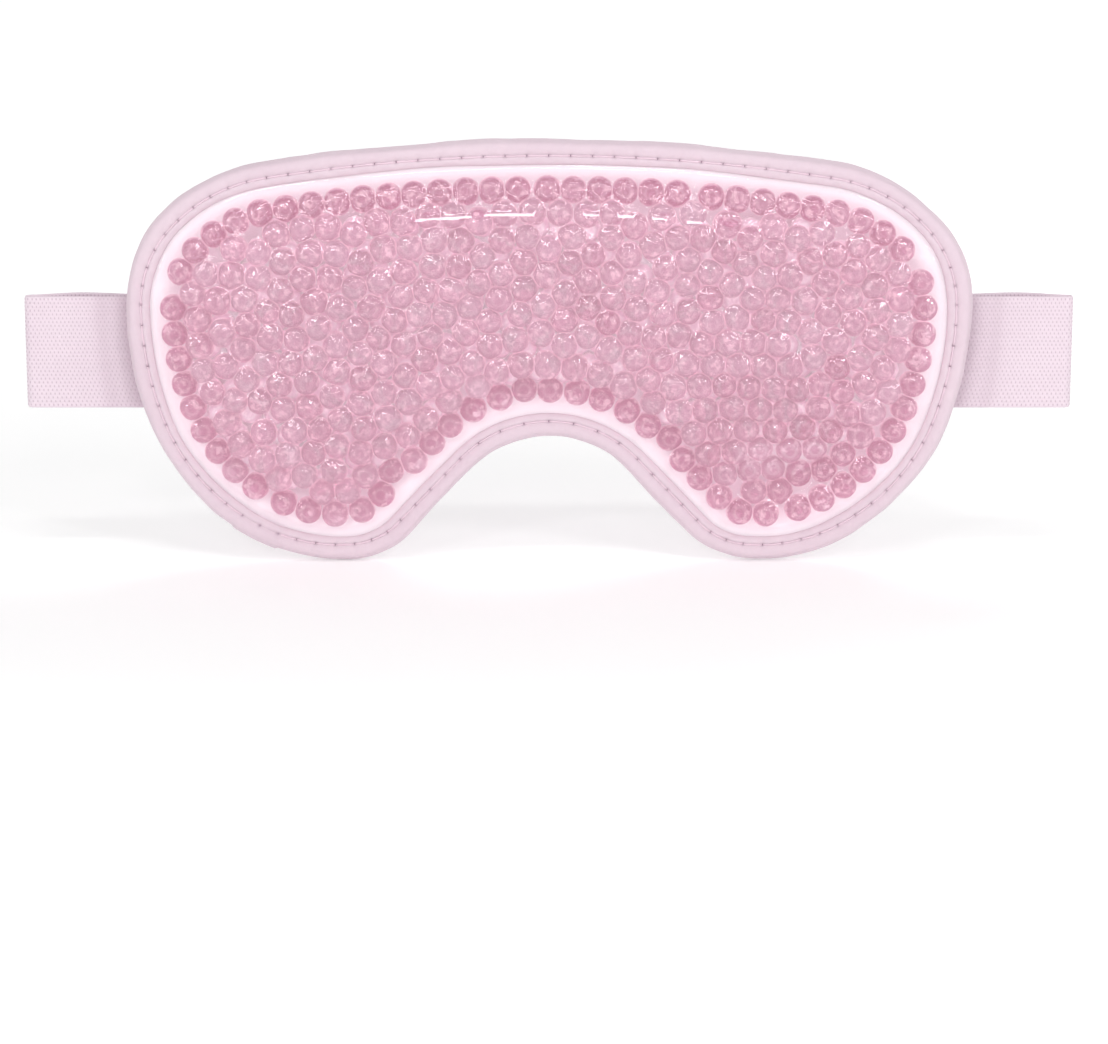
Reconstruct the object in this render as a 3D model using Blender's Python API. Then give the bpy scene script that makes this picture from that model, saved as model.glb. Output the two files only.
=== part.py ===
"""Gel-bead eye mask with two elastic straps, folded behind it.

X is the width, with +X at the viewer's right when the bead side is looked at. +Z is up, towards the brow.
The bead side looks towards -Y and the skin side towards +Y. The origin is the middle of the skin face.
"""

import math

import bmesh
import bpy

MM = 0.001
GAP = 0.3  # clearance between neighbouring pieces, mm

# Outline, mm and degrees. The right half starts at the middle of the brow and runs clockwise along
# tangent arcs. A straight flank and one arc the other way close it at the bridge of the nose.
BROW_Z = 52.0
BRIDGE_Z = -21.9
RIGHT_ARCS = ((450.0, 9.0), (45.0, 36.0), (33.0, 45.0), (85.0, 20.0), (54.0, 45.0), (45.0, 30.0), (22.0, 41.0))
RIGHT_STEPS = (3, 4, 4, 2, 4, 3, 4)
BRIDGE_STEPS = 4

# Layers, mm. A height is a y value. The layers are stacked from the skin face, y = 0, towards the beads' viewer.
SHEET_EDGE = 1.1  # how far the sheets' edge lies inside the mask's outer edge
DOME_EDGE = 8.0  # where the filled part starts, from the outer edge
DOME_TOP = 19.0  # where the domes reach their full height
DOME_RINGS = (9.5, 12.0, 15.0)
FILL_EDGE = 9.5
BACKING_THICKNESS = 0.8
BACKING_RISE = 4.0
FILM_THICKNESS = 0.4
REAR_FILM_RISE = 3.2
FRONT_FILM_RISE = -8.0
BACKING_OUT = -BACKING_RISE
BACKING_IN = BACKING_OUT - BACKING_THICKNESS
REAR_OUT = BACKING_IN - GAP
REAR_IN = REAR_OUT - FILM_THICKNESS
FRONT_IN = REAR_IN - GAP
FRONT_OUT = FRONT_IN - FILM_THICKNESS

# Elastic straps, mm
STRAP_Z = -1.4
STRAP_WIDTH = 28.0
STRAP = 0.9  # thickness
STRAP_SLICES = 8
TAIL_LENGTH = 3.0  # the strap's end, caught under the binding's back lip
TAIL_IN = BACKING_OUT + GAP

# Binding tape and its stitching, mm
LIP_FRONT_WIDTH = 6.0
LIP_BACK_WIDTH = 6.5
TAPE = 0.7
BINDING_FRONT = FRONT_OUT - GAP - TAPE
BINDING_BACK = TAIL_IN + STRAP + GAP + TAPE
BINDING_ROUND = 1.2
STITCH_LINE = 4.0  # from the outer edge to the stitching
THREAD = 0.3

# The straps' tab, fold and band, mm
TAB_Y = BINDING_BACK + GAP + THREAD + GAP + STRAP / 2  # middle of the tab's thickness
FOLD_RADIUS = 1.8  # to the middle of the thickness
FOLD_X = 128.75  # centre of the fold
FOLD_Y = TAB_Y + FOLD_RADIUS
FOLD_STEPS = 8
BAND_TIP_X = 6.0
BAND_STEPS = 26
BULGE = 4.3  # how far the loose loop behind the tab stands out
BULGE_LENGTH = 28.0
BULGE_SKEW = 0.75
BAND_REST_Y = 5.0  # middle of the thickness behind the mask
BAND_SETTLE = 40.0  # distance over which the band drifts to that place

# Fastener patches near the straps' tips, mm
PATCH_NEAR_X = 8.0
PATCH_FAR_X = 44.0
PATCH_HEIGHT = 24.0
PATCH_CORNER = 2.0
PATCH_CORNER_STEPS = 3
HOOK_THICKNESS = 1.4
LOOP_THICKNESS = 1.8
PATCH_STITCH_INSET = 1.5
PATCH_THREAD = 0.4

PINK_FILM = ((0.90, 0.78, 0.85), 0.12, 0.35)
PINK_GEL = ((0.80, 0.48, 0.62), 0.15, 0.9)
PINK_PLUSH = ((0.84, 0.66, 0.74), 0.85, 1.0)
PINK_TAPE = ((0.84, 0.70, 0.77), 0.7, 1.0)
PINK_THREAD = ((0.72, 0.56, 0.64), 0.6, 1.0)
PINK_ELASTIC = ((0.82, 0.72, 0.78), 0.8, 1.0)
PINK_FASTENER = ((0.80, 0.68, 0.74), 0.75, 1.0)


def clear_scene():
    for obj in list(bpy.data.objects):
        bpy.data.objects.remove(obj, do_unlink=True)


def material(name, colour, roughness, alpha):
    made = bpy.data.materials.new(name)
    made.use_nodes = True
    shader = made.node_tree.nodes["Principled BSDF"]
    shader.inputs["Base Color"].default_value = (*colour, 1.0)
    shader.inputs["Roughness"].default_value = roughness
    shader.inputs["Metallic"].default_value = 0.0
    shader.inputs["Alpha"].default_value = alpha
    return made


def add_object(name, mesh_builder, look):
    """Make an object from a filled bmesh, with its faces pointing out."""
    bmesh.ops.recalc_face_normals(mesh_builder, faces=mesh_builder.faces)
    mesh = bpy.data.meshes.new(name)
    mesh_builder.to_mesh(mesh)
    mesh_builder.free()
    mesh.materials.append(material(name, *look))
    obj = bpy.data.objects.new(name, mesh)
    bpy.context.scene.collection.objects.link(obj)
    return obj


def shade_round(obj, degrees=35.0):
    obj.data.shade_smooth()
    obj.data.set_sharp_from_angle(angle=math.radians(degrees))


def arc_points(x, z, heading, radius, turn, steps):
    """Points along an arc from (x, z), without its start. A turn below zero is clockwise."""
    side = 1.0 if turn > 0 else -1.0
    centre_x = x - side * radius * math.sin(heading)
    centre_z = z + side * radius * math.cos(heading)
    points = []
    for step in range(1, steps + 1):
        angle = heading + turn * step / steps
        points.append(
            (centre_x + side * radius * math.sin(angle), centre_z - side * radius * math.cos(angle))
        )
    return points


def arc_chain(inset):
    """The right half from the middle of the brow to the end of the last clockwise arc, and its heading."""
    points = [(0.0, BROW_Z - inset)]
    heading = 0.0
    for (radius, turn), steps in zip(RIGHT_ARCS, RIGHT_STEPS):
        turn = -math.radians(turn)
        points += arc_points(*points[-1], heading, radius - inset, turn, steps)
        heading += turn
    return points, heading


def bridge_fit():
    """Length of the straight flank and radius of the bridge's arc that bring the outline to the centre line."""
    points, heading = arc_chain(0.0)
    x, z = points[-1]
    a, b = math.cos(heading), -math.sin(heading)
    c, d = math.sin(heading), math.cos(heading) + 1.0
    det = a * d - b * c
    flank = (-x * d - b * (BRIDGE_Z - z)) / det
    radius = (a * (BRIDGE_Z - z) + c * x) / det
    return flank, radius


def half_outline(inset):
    """The right half of the mask's outline, moved in by inset, from the brow down to the bridge."""
    flank, radius = bridge_fit()
    points, heading = arc_chain(inset)
    x, z = points[-1]
    points.append((x + flank * math.cos(heading), z + flank * math.sin(heading)))
    points += arc_points(*points[-1], heading, radius + inset, -math.pi - heading, BRIDGE_STEPS)
    return points


def outline(inset):
    """The whole outline as a closed loop of (x, z)."""
    right = half_outline(inset)
    left = [(-x, z) for x, z in reversed(right[1:-1])]
    return right + left


def outline_x(inset, z):
    """Where the moved-in outline's right side crosses a height, by the straight line between its points."""
    side = [p for p in half_outline(inset) if p[0] > 60.0]
    for (x0, z0), (x1, z1) in zip(side, side[1:]):
        if z1 <= z <= z0:
            return x0 + (x1 - x0) * (z0 - z) / (z0 - z1)
    return side[0][0]


def dome(inset):
    """Share of a dome's height reached at a distance from the outer edge."""
    reach = (inset - DOME_EDGE) / (DOME_TOP - DOME_EDGE)
    return math.sin(math.pi / 2 * min(1.0, max(0.0, reach)))


def loft(sections, close):
    """A solid through loops of equal length: ring-shaped when close is true, else with its two ends filled."""
    bm = bmesh.new()
    rows = [[bm.verts.new((x * MM, y * MM, z * MM)) for x, y, z in loop] for loop in sections]
    pairs = list(zip(rows, rows[1:]))
    if close:
        pairs.append((rows[-1], rows[0]))
    else:
        bm.faces.new(rows[0])
        bm.faces.new(rows[-1])
    for row, following in pairs:
        for i in range(len(row)):
            j = (i + 1) % len(row)
            bm.faces.new((row[i], row[j], following[j], following[i]))
    return bm


def level(inset, y):
    """The moved-in outline at one depth."""
    return [(x, y, z) for x, z in outline(inset)]


def domed_mesh(first_y, first_rise, second_y, second_rise, edge):
    """A domed sheet or cushion, from the middle of its first face out to its edge and back along its second."""
    rings = [DOME_TOP, *reversed(DOME_RINGS)]
    if edge < DOME_EDGE:
        rings += [DOME_EDGE, edge]
    first = [level(d, first_y + first_rise * dome(d)) for d in rings]
    second = [level(d, second_y + second_rise * dome(d)) for d in reversed(rings)]
    return loft(first + second, close=False)


def add_sheet(name, in_y, out_y, rise, look):
    shade_round(add_object(name, domed_mesh(in_y, rise, out_y, rise, SHEET_EDGE), look))


def add_gel_bead_fill():
    fill = domed_mesh(FRONT_IN + GAP, FRONT_FILM_RISE, REAR_IN - GAP, REAR_FILM_RISE, FILL_EDGE)
    shade_round(add_object("gel_bead_fill", fill, PINK_GEL))


def add_edge_binding():
    """Tape folded over the edge: a C-shaped section, open towards the middle of the mask."""
    r = BINDING_ROUND
    section = (
        (LIP_FRONT_WIDTH, BINDING_FRONT),
        (r, BINDING_FRONT),
        (0.0, BINDING_FRONT + r),
        (0.0, BINDING_BACK - r),
        (r, BINDING_BACK),
        (LIP_BACK_WIDTH, BINDING_BACK),
        (LIP_BACK_WIDTH, BINDING_BACK - TAPE),
        (TAPE, BINDING_BACK - TAPE),
        (TAPE, BINDING_FRONT + TAPE),
        (LIP_FRONT_WIDTH, BINDING_FRONT + TAPE),
    )
    loops = [level(inset, y) for inset, y in section]
    shade_round(add_object("edge_binding", loft(loops, close=True), PINK_TAPE), 50.0)


def add_binding_thread(name, y):
    """The line of stitches along the binding, as one flat strand."""
    near, far = STITCH_LINE - THREAD / 2, STITCH_LINE + THREAD / 2
    section = ((near, y), (far, y), (far, y + THREAD), (near, y + THREAD))
    add_object(name, loft([level(inset, h) for inset, h in section], close=True), PINK_THREAD)


def strap_ends():
    return STRAP_Z - STRAP_WIDTH / 2, STRAP_Z + STRAP_WIDTH / 2


def extrude_section(section, side):
    """A strip with one (x, y) section all along the strap's width, for the strap on one side of the mask."""
    return loft([[(side * x, y, z) for x, y in section] for z in strap_ends()], close=False)


def tab_section(lip_x):
    """The strap's end: caught under the lip, turned back over it, and out past the mask."""
    half = STRAP / 2
    inner = lip_x - GAP
    outer = inner - STRAP
    return (
        (lip_x + TAIL_LENGTH, TAIL_IN),
        (outer + half, TAIL_IN),
        (outer, TAIL_IN + half),
        (outer, TAB_Y),
        (outer + half, TAB_Y + half),
        (FOLD_X - GAP, TAB_Y + half),
        (FOLD_X - GAP, TAB_Y - half),
        (inner, TAB_Y - half),
        (inner, TAIL_IN + STRAP),
        (lip_x + TAIL_LENGTH, TAIL_IN + STRAP),
    )


def add_strap_tab(name, side):
    low, high = strap_ends()
    slices = []
    for step in range(STRAP_SLICES + 1):
        z = low + (high - low) * step / STRAP_SLICES
        section = tab_section(outline_x(LIP_BACK_WIDTH, z))
        slices.append([(side * x, y, z) for x, y in section])
    add_object(name, loft(slices, close=False), PINK_ELASTIC)


def add_strap_fold(name, side):
    """The half-round turn between the tab and the band."""
    section = []
    for radius, steps in (
        (FOLD_RADIUS + STRAP / 2, range(FOLD_STEPS + 1)),
        (FOLD_RADIUS - STRAP / 2, range(FOLD_STEPS, -1, -1)),
    ):
        for step in steps:
            angle = math.pi * (step / FOLD_STEPS - 0.5)
            section.append((FOLD_X + radius * math.cos(angle), FOLD_Y + radius * math.sin(angle)))
    shade_round(add_object(name, extrude_section(section, side), PINK_ELASTIC), 50.0)


def band_y(x):
    """Middle of the band's thickness: a loose loop next to the fold, then nearly straight behind the mask."""
    along = FOLD_X - x
    start = FOLD_Y + FOLD_RADIUS
    hump = BULGE * math.sin(math.pi * min(1.0, along / BULGE_LENGTH) ** BULGE_SKEW) ** 2
    settle = min(1.0, along / BAND_SETTLE)
    drift = (BAND_REST_Y - start) * settle * settle * (3.0 - 2.0 * settle)
    return start + hump + drift


def band_path():
    """Points along the band, closer together along the loose loop."""
    start = FOLD_X - GAP
    loop_end = FOLD_X - BULGE_LENGTH
    loop_steps = BAND_STEPS * 2 // 3
    rest_steps = BAND_STEPS - loop_steps
    xs = [start + (loop_end - start) * i / loop_steps for i in range(loop_steps)]
    xs += [loop_end + (BAND_TIP_X - loop_end) * i / rest_steps for i in range(rest_steps + 1)]
    return [(x, band_y(x)) for x in xs]


def band_section():
    path = band_path()
    outer, inner = [], []
    for i, (x, y) in enumerate(path):
        before, after = path[max(0, i - 1)], path[min(len(path) - 1, i + 1)]
        run_x, run_y = after[0] - before[0], after[1] - before[1]
        length = math.hypot(run_x, run_y)
        off_x, off_y = run_y / length * STRAP / 2, -run_x / length * STRAP / 2
        outer.append((x + off_x, y + off_y))
        inner.append((x - off_x, y - off_y))
    return outer + inner[::-1]


def place_on_hinge(obj, side):
    """Move an object's origin to the vertical line that its strap turns about."""
    hinge = (side * FOLD_X * MM, FOLD_Y * MM, STRAP_Z * MM)
    for vertex in obj.data.vertices:
        vertex.co = [value - centre for value, centre in zip(vertex.co, hinge)]
    obj.location = hinge


def add_strap_band(name, side):
    band = add_object(name, extrude_section(band_section(), side), PINK_ELASTIC)
    shade_round(band, 50.0)
    place_on_hinge(band, side)


def rounded_rectangle(inset, side):
    """The patch's outline, moved in by inset, as a closed loop of (x, z)."""
    radius = max(PATCH_CORNER - inset, 0.2)
    left, right = PATCH_NEAR_X + inset + radius, PATCH_FAR_X - inset - radius
    reach = PATCH_HEIGHT / 2 - inset - radius
    corners = (
        (right, STRAP_Z + reach, 0.0),
        (left, STRAP_Z + reach, 90.0),
        (left, STRAP_Z - reach, 180.0),
        (right, STRAP_Z - reach, 270.0),
    )
    points = []
    for x, z, start in corners:
        for step in range(PATCH_CORNER_STEPS + 1):
            angle = math.radians(start + 90.0 * step / PATCH_CORNER_STEPS)
            points.append((side * (x + radius * math.cos(angle)), z + radius * math.sin(angle)))
    return points


def add_patch(name, side, low_y, high_y):
    loop = rounded_rectangle(0.0, side)
    patch = add_object(name, loft([[(x, y, z) for x, z in loop] for y in (low_y, high_y)], close=False),
                       PINK_FASTENER)
    place_on_hinge(patch, side)


def add_patch_stitching(name, side, low_y, high_y):
    near, far = PATCH_STITCH_INSET, PATCH_STITCH_INSET + PATCH_THREAD
    section = ((near, low_y), (far, low_y), (far, high_y), (near, high_y))
    loops = [[(x, y, z) for x, z in rounded_rectangle(inset, side)] for inset, y in section]
    stitching = add_object(name, loft(loops, close=True), PINK_THREAD)
    place_on_hinge(stitching, side)


def add_fasteners():
    """Hook tape on the inner face of the left strap's tip, loop tape on the outer face of the right one's.

    Each patch's stitching shows on the strap's other face.
    """
    inner = BAND_REST_Y - STRAP / 2 - GAP
    outer = BAND_REST_Y + STRAP / 2 + GAP
    add_patch("hook_patch", -1, inner - HOOK_THICKNESS, inner)
    add_patch_stitching("hook_patch_stitching", -1, outer, outer + PATCH_THREAD)
    add_patch("loop_patch", 1, outer, outer + LOOP_THICKNESS)
    add_patch_stitching("loop_patch_stitching", 1, inner - PATCH_THREAD, inner)


def build():
    clear_scene()
    add_sheet("front_film", FRONT_OUT, FRONT_IN, FRONT_FILM_RISE, PINK_FILM)
    add_gel_bead_fill()
    add_sheet("rear_film", REAR_IN, REAR_OUT, REAR_FILM_RISE, PINK_FILM)
    add_sheet("backing_fabric", BACKING_IN, BACKING_OUT, BACKING_RISE, PINK_PLUSH)
    add_edge_binding()
    add_binding_thread("binding_needle_thread", BINDING_FRONT - GAP - THREAD)
    add_binding_thread("binding_bobbin_thread", BINDING_BACK + GAP)
    for word, side in (("left", -1), ("right", 1)):
        add_strap_tab(f"strap_{word}_tab", side)
        add_strap_fold(f"strap_{word}_fold", side)
        add_strap_band(f"strap_{word}_band", side)
    add_fasteners()


build()
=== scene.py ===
"""The looks of the gel-bead eye mask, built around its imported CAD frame.

Lengths are millimetres until a mesh is made. X is the width, +Z the brow, and the beads look towards -Y.
"""

import math

import bmesh
import bpy
import numpy as np
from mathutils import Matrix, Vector


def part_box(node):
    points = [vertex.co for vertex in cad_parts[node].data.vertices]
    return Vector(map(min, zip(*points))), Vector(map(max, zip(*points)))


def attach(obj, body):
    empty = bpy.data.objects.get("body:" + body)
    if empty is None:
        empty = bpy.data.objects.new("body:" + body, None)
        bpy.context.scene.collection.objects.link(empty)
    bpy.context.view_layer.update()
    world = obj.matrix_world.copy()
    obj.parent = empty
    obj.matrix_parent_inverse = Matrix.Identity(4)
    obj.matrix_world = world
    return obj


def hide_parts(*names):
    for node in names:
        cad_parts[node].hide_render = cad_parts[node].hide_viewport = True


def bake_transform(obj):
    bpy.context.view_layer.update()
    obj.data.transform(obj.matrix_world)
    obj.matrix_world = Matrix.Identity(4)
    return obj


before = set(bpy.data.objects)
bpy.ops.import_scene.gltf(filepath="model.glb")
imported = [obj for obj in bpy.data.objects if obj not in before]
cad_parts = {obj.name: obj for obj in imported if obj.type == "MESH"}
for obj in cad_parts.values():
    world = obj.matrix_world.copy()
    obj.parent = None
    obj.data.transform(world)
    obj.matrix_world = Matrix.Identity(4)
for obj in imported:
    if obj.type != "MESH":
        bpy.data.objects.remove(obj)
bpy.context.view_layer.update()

MM = 0.001
SEED = 7
BODY = "mask"


def box_mm(node):
    low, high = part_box(node)
    return np.array(low) / MM, np.array(high) / MM


# ---- sizes, from the frame

BINDING_LOW, BINDING_HIGH = box_mm("edge_binding")
FRONT_LOW, FRONT_HIGH = box_mm("front_film")
REAR_LOW = box_mm("rear_film")[0]
FILL_HIGH = box_mm("gel_bead_fill")[1]
BACK_LOW, BACK_HIGH = box_mm("backing_fabric")
TAB_LOW, TAB_HIGH = box_mm("strap_right_tab")
FOLD_HIGH = box_mm("strap_right_fold")[1]
BAND_LOW = box_mm("strap_right_band")[0]
HOOK_LOW, HOOK_HIGH = box_mm("hook_patch")
LOOP_LOW, LOOP_HIGH = box_mm("loop_patch")

# The outline as the CAD has it: clockwise tangent arcs (radius, degrees) from the middle of the brow,
# then a straight flank and one arc the other way to the bridge of the nose.
BROW_Z = BINDING_HIGH[2]
BRIDGE_Z = -21.9
RIGHT_ARCS = ((450.0, 9.0), (45.0, 36.0), (33.0, 45.0), (85.0, 20.0),
              (54.0, 45.0), (45.0, 30.0), (22.0, 41.0))

DOME_EDGE = 8.0  # how far in from the edge the pack starts to swell towards the skin
DOME_TOP = 19.0  # and where it is full
FILL_GAP = 0.3  # between the bead fill and the rear film
PLUSH = 0.8  # the backing's thickness
REAR_RISE = FILL_HIGH[1] + FILL_GAP - REAR_LOW[1]
BACK_RISE = BACK_HIGH[1] - (BACK_LOW[1] + PLUSH)
AT_ONCE = 4000  # points measured against the outline at a time


# ---- outline

def right_outline(spacing):
    """Points and headings along the right half, brow to bridge, about spacing apart."""
    points, headings = [(0.0, BROW_Z)], [0.0]

    def steps_over(length):
        return max(1, int(round(length / spacing)))

    def add_arc(radius, turn):
        (x, z), heading = points[-1], headings[-1]
        steps = steps_over(abs(radius * turn))
        side = math.copysign(1.0, turn)
        cx, cz = x - side * radius * math.sin(heading), z + side * radius * math.cos(heading)
        for step in range(1, steps + 1):
            angle = heading + turn * step / steps
            points.append((cx + side * radius * math.sin(angle), cz - side * radius * math.cos(angle)))
            headings.append(angle)

    for radius, degrees in RIGHT_ARCS:
        add_arc(radius, -math.radians(degrees))
    heading = headings[-1]
    x, z = points[-1]
    # the flank's length and the bridge's radius that end level in the middle, at BRIDGE_Z
    flank_x, flank_z = math.cos(heading), math.sin(heading)
    arc_x, arc_z = -flank_z, flank_x + 1.0
    both = flank_x * arc_z - arc_x * flank_z
    flank = (-x * arc_z - arc_x * (BRIDGE_Z - z)) / both
    bridge = (flank_x * (BRIDGE_Z - z) + flank_z * x) / both
    steps = steps_over(flank)
    for step in range(1, steps + 1):
        points.append((x + flank_x * flank * step / steps, z + flank_z * flank * step / steps))
        headings.append(heading)
    add_arc(bridge, -math.pi - heading)
    return np.array(points), np.array(headings)


def make_outline(spacing):
    """Closed loop of points, their outward normals and the length run to each, clockwise from the brow."""
    points, headings = right_outline(spacing)
    normals = np.stack([-np.sin(headings), np.cos(headings)], 1)
    mirror = np.array([-1.0, 1.0])
    loop = np.vstack([points, points[-2:0:-1] * mirror])
    outward = np.vstack([normals, normals[-2:0:-1] * mirror])
    return loop, outward, run_along(np.vstack([loop, loop[:1]]))


def run_along(path):
    """The length run to each point of a path."""
    return np.concatenate([[0.0], np.cumsum(np.linalg.norm(np.diff(path, axis=0), axis=1))])


def at_run(path, run, at):
    """The places, or other pairs of values, at the lengths given by at."""
    return np.stack([np.interp(at, run, path[:, 0]), np.interp(at, run, path[:, 1])], 1)


def even_points(loop, pitch):
    """Points at even steps of about pitch round a closed loop."""
    closed = np.vstack([loop, loop[:1]])
    run = run_along(closed)
    count = int(round(run[-1] / pitch))
    return at_run(closed, run, np.linspace(0.0, run[-1], count, endpoint=False))


EDGE, EDGE_OUT, _ = make_outline(1.0)


def edge_distance(xz):
    """Distance in from the mask's outer edge, below zero outside it, and the way in."""
    xz = np.asarray(xz, float)
    depth = np.empty(len(xz))
    inward = np.empty((len(xz), 2))
    for start in range(0, len(xz), AT_ONCE):
        part = xz[start:start + AT_ONCE]
        gap = part[:, None, :] - EDGE[None, :, :]
        nearest = (gap ** 2).sum(2).argmin(1)
        out = EDGE_OUT[nearest]
        away = gap[np.arange(len(part)), nearest]
        depth[start:start + AT_ONCE] = -(away * out).sum(1)
        inward[start:start + AT_ONCE] = -out
    return depth, inward


def ramp(value, low, high):
    """Smooth step from 0 at low to 1 at high."""
    t = np.clip((value - low) / (high - low), 0.0, 1.0)
    return t * t * (3.0 - 2.0 * t)


def bell(value, middle, width):
    """1 at middle, falling away on both sides."""
    return np.exp(-((value - middle) / width) ** 2)


def oval(x, z, place, size, sharpness=1.0):
    """1 at a place on the mask, falling away over an oval."""
    return np.exp(-(((x - place[0]) / size[0]) ** 2 + ((z - place[1]) / size[1]) ** 2) * sharpness)


def dome(depth):
    """How far the pack has swollen, from 0 at its edge to 1."""
    reach = np.clip((depth - DOME_EDGE) / (DOME_TOP - DOME_EDGE), 0.0, 1.0)
    return np.sin(np.pi / 2 * reach)


def rear_y(depth):
    """The side of the rear film that the beads lie on."""
    return REAR_LOW[1] + REAR_RISE * dome(depth)


def pack_thickness(xz, depth):
    """Room for one bead along the edge and in the right lobe, and for two layers elsewhere."""
    lobe = oval(*xz.T, (66.0, -34.0), (26.0, 17.0), 1.2)
    tip = oval(*xz.T, (-62.0, -44.0), (22.0, 9.0))
    two_layers = ramp(depth, 13.0, 20.0) * (1.0 - 0.95 * lobe) * (1.0 - 0.6 * tip)
    return ONE_LAYER + (TWO_LAYERS - ONE_LAYER) * two_layers


# ---- mesh helpers

def new_object(name, vertices, faces):
    """An object from vertices in millimetres."""
    mesh = bpy.data.meshes.new(name)
    mesh.from_pydata((np.asarray(vertices) * MM).tolist(), [], [tuple(int(i) for i in f) for f in faces])
    mesh.validate()
    mesh.update()
    mesh.shade_smooth()
    obj = bpy.data.objects.new(name, mesh)
    bpy.context.scene.collection.objects.link(obj)
    return obj


def paint_values(obj, name, values):
    """A value for each vertex, which a material can read by name."""
    layer = obj.data.attributes.new(name, "FLOAT", "POINT")
    layer.data.foreach_set("value", np.asarray(values, np.float32))


def grid_faces(rows, columns, close_rows=False, close_columns=False):
    """Quads over a grid of points, joined round at the ends where asked."""
    faces = []
    for i in range(rows if close_rows else rows - 1):
        for j in range(columns if close_columns else columns - 1):
            k, l = (i + 1) % rows, (j + 1) % columns
            faces.append((i * columns + j, i * columns + l, k * columns + l, k * columns + j))
    return faces


def raised(xz, y):
    """Points of the mask's plane moved to y."""
    return np.stack([xz[:, 0], np.broadcast_to(y, len(xz)), xz[:, 1]], 1)


def stack_faces(rings, sides):
    """Faces round a stack of rings, closed at both ends."""
    last = (rings - 1) * sides
    faces = grid_faces(rings, sides, close_columns=True)
    return faces + [tuple(range(sides)), tuple(last + j for j in reversed(range(sides)))]


def face_out(obj):
    """Turn the faces of a closed mesh outwards."""
    bm = bmesh.new()
    bm.from_mesh(obj.data)
    bmesh.ops.recalc_face_normals(bm, faces=bm.faces)
    bm.to_mesh(obj.data)
    bm.free()


# ---- material helpers

def add_node(tree, kind, inputs=(), **settings):
    """A node with these settings, its inputs given a value or linked to another node's output."""
    made = tree.nodes.new(kind)
    for key, value in settings.items():
        setattr(made, key, value)
    for key, value in dict(inputs).items():
        if hasattr(value, "is_output"):
            tree.links.new(value, made.inputs[key])
        else:
            made.inputs[key].default_value = value
    return made


class Look:
    """A material under construction, with short ways to add nodes."""

    def __init__(self, name):
        self.material = bpy.data.materials.new(name)
        self.material.use_nodes = True
        self.tree = self.material.node_tree
        self.shader = self.tree.nodes["Principled BSDF"]
        self.output = self.tree.nodes["Material Output"]

    def set(self, **values):
        for key, value in values.items():
            socket = self.shader.inputs[key.replace("_", " ")]
            socket.default_value = (*value, 1.0) if isinstance(value, tuple) else value

    def node(self, kind, inputs=(), **settings):
        return add_node(self.tree, kind, inputs, **settings)

    def link(self, source, socket):
        self.tree.links.new(source, self.shader.inputs[socket])

    def attribute(self, name):
        return self.node("ShaderNodeAttribute", attribute_name=name).outputs["Fac"]

    def noise(self, scale, detail, roughness=0.5):
        """Noise with scale cycles a metre."""
        inputs = {"Scale": scale, "Detail": detail, "Roughness": roughness}
        inputs["Vector"] = self.node("ShaderNodeTexCoord").outputs["Object"]
        return self.node("ShaderNodeTexNoise", inputs).outputs["Fac"]

    def maths(self, operation, a, b=0.0):
        return self.node("ShaderNodeMath", {0: a, 1: b}, operation=operation).outputs[0]

    def scaled(self, value, by):
        return self.maths("MULTIPLY", value, by)

    def cosine(self, value, pitch):
        return self.maths("COSINE", self.scaled(value, 2.0 * math.pi / pitch))

    def spread(self, value, low, high, to_low=0.0, to_high=1.0):
        """Straight from to_low where value is low to to_high where it is high."""
        inputs = {"Value": value, "From Min": low, "From Max": high, "To Min": to_low, "To Max": to_high}
        return self.node("ShaderNodeMapRange", inputs).outputs["Result"]

    def mix(self, factor, a, b):
        """Colour a where factor is 0 and b where it is 1."""
        a, b = ((*colour, 1.0) if isinstance(colour, tuple) else colour for colour in (a, b))
        return self.node("ShaderNodeMix", {0: factor, 6: a, 7: b}, data_type="RGBA").outputs[2]

    def mix_shaders(self, factor, a, b):
        return self.node("ShaderNodeMixShader", {0: factor, 1: a.outputs[0], 2: b.outputs[0]})

    def surface(self, shader):
        """Show this shader node in place of the plain one."""
        self.tree.links.new(shader.outputs[0], self.output.inputs["Surface"])

    def bump(self, height, strength, distance_mm, normal=None):
        inputs = {"Height": height, "Strength": strength, "Distance": distance_mm * MM}
        if normal is not None:
            inputs["Normal"] = normal
        made = self.node("ShaderNodeBump", inputs)
        self.link(made.outputs[0], "Normal")
        return made.outputs[0]


def linear(red, green, blue):
    """Screen values, 0 to 255, as linear ones."""
    def one(value):
        value /= 255.0
        return value / 12.92 if value <= 0.04045 else ((value + 0.055) / 1.055) ** 2.4
    return one(red), one(green), one(blue)


def finish_piece(obj, look, slot, *nodes):
    obj.data.materials.clear()
    obj.data.materials.append(look.material)
    if nodes:
        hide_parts(*nodes)


# ---- materials

# painted glow of the gel where beads touch, and of the painted glint marks inside them; the gel is no lamp
PAINTED_RIM_GLOW = 0.20  # of the gel where beads touch
PAINTED_GLINT_GLOW = 0.18  # of the pale marks inside them


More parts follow.
